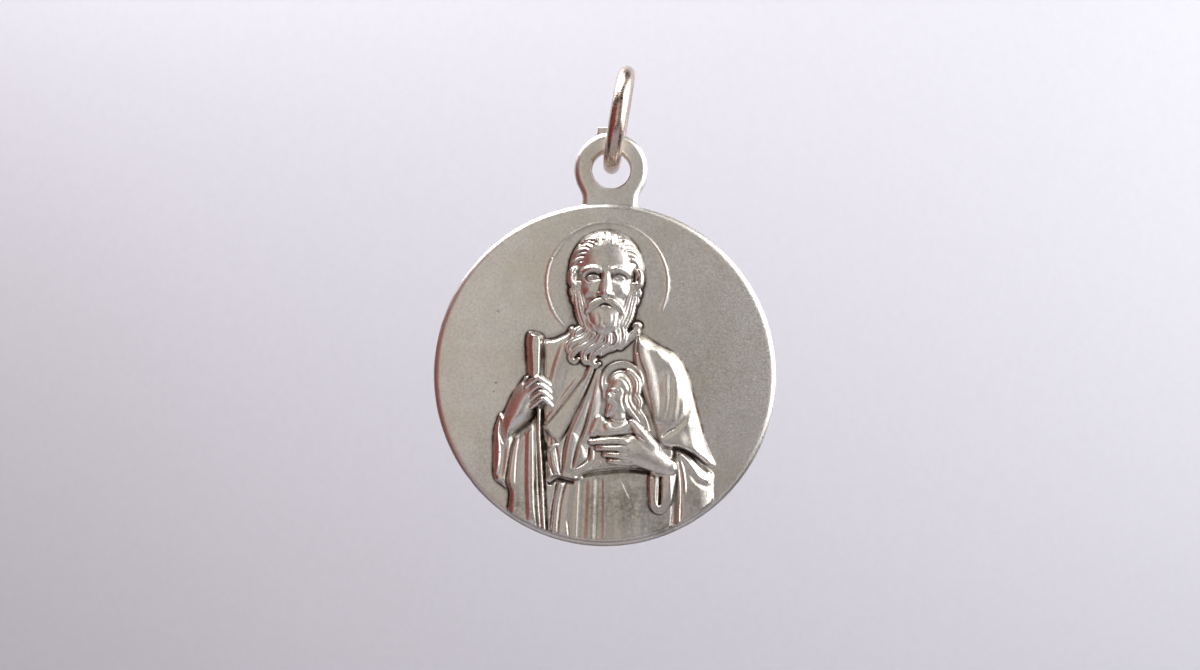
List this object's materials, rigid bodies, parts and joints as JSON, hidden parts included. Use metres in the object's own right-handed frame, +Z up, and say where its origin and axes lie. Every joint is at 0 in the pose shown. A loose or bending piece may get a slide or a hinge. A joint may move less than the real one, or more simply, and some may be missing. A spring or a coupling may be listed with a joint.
{
  "type": "religious medal pendant",
  "caption": "Round struck silver medal with a robed, haloed figure in relief, hung by its eyelet from a plain jump ring.",
  "frame": {"origin": "inner top of the jump ring, where a chain or cord passes", "axes": "+Z up as it hangs, -Y out of the medal's front, +X to the viewer's right"},
  "size_m": [0.025, 0.0078, 0.035],
  "materials": {
    "medal_silver": "satin struck silver, oxidised dark in the grooves",
    "ring_silver": "drawn silver wire, dulled"
  },
  "bodies": {
    "ring": {"jump_ring": "ring_silver"},
    "pendant": {"medal": "medal_silver"}
  },
  "joints": [
    {"name": "medal_swing", "type": "hinge", "parent": "ring", "child": "pendant", "pos_m": [-0.00082, 0, -0.00587], "axis": [0, 1, 0], "range_deg": [-90, 90]}
  ]
}
